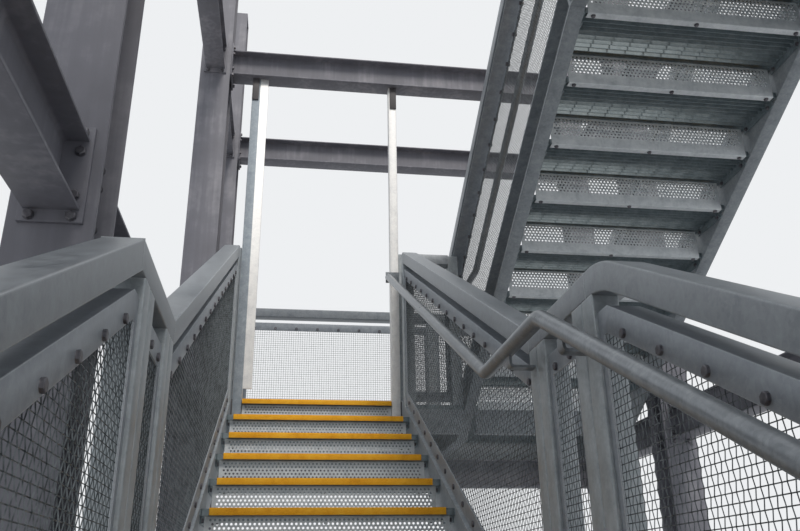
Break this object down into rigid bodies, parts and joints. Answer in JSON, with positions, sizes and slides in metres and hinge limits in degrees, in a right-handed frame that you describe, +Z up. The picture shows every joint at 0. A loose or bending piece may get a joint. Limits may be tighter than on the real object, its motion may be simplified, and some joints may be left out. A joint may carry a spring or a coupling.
{
  "type": "fire escape stair tower",
  "caption": "Steel fire escape tower: straight flights with half landings between mesh-panelled guards, turning at a full landing, in a frame of columns and beams.",
  "frame": {"origin": "on the ground, at the middle of the tower's footprint", "axes": "+Z up, +Y up the lower run, +X to the right of someone going up the lower run"},
  "size_m": [3.643, 8.75, 7.052],
  "materials": {
    "channel_steel": "hot-dip galvanised, matt mottled blue-grey",
    "guard_steel": "hot-dip galvanised, matt mottled blue-grey",
    "mesh_frame_steel": "hot-dip galvanised, matt mottled blue-grey",
    "handrail_steel": "galvanised tube, smooth satin",
    "hanger_steel": "hot-dip galvanised, matt mottled blue-grey",
    "tread_grating": "galvanised bar grating",
    "deck_grating": "galvanised bar grating",
    "riser_plate": "perforated galvanised sheet",
    "nosing_yellow": "gritty non-slip yellow",
    "woven_mesh": "woven crimped wire, dark galvanised",
    "painted_steel": "matt grey paint"
  },
  "bodies": {
    "root": {"treads_1": "tread_grating", "treads_2": "tread_grating", "treads_3": "tread_grating", "treads_4": "tread_grating", "half_landing_decks": "deck_grating", "main_landing_deck": "deck_grating", "top_landing_deck": "deck_grating", "risers_1": "riser_plate", "risers_2": "riser_plate", "risers_3": "riser_plate", "risers_4": "riser_plate", "nosings_a": "nosing_yellow", "nosings_b": "nosing_yellow", "stringers_1": "channel_steel", "stringers_2": "channel_steel", "stringers_3": "channel_steel", "stringers_4": "channel_steel", "half_landing_channels": "channel_steel", "landing_side_channels": "channel_steel", "landing_trimmers": "channel_steel", "landing_joists": "channel_steel", "top_rails_a": "guard_steel", "top_rails_b": "guard_steel", "top_rails_level": "guard_steel", "posts_a": "guard_steel", "posts_b": "guard_steel", "posts_landings": "guard_steel", "mesh_frames_a": "mesh_frame_steel", "mesh_frames_b": "mesh_frame_steel", "mesh_frames_landings": "mesh_frame_steel", "mesh_a_left": "woven_mesh", "mesh_a_right": "woven_mesh", "mesh_b_left": "woven_mesh", "mesh_b_right": "woven_mesh", "mesh_landings": "woven_mesh", "handrail_a": "handrail_steel", "handrail_b": "handrail_steel", "handrail_brackets": "handrail_steel", "hangers": "hanger_steel", "hanger_brackets": "painted_steel", "landing_seats": "painted_steel", "columns": "painted_steel", "base_plates": "painted_steel", "cross_beams": "painted_steel", "side_beams": "painted_steel"}
  },
  "joints": []
}
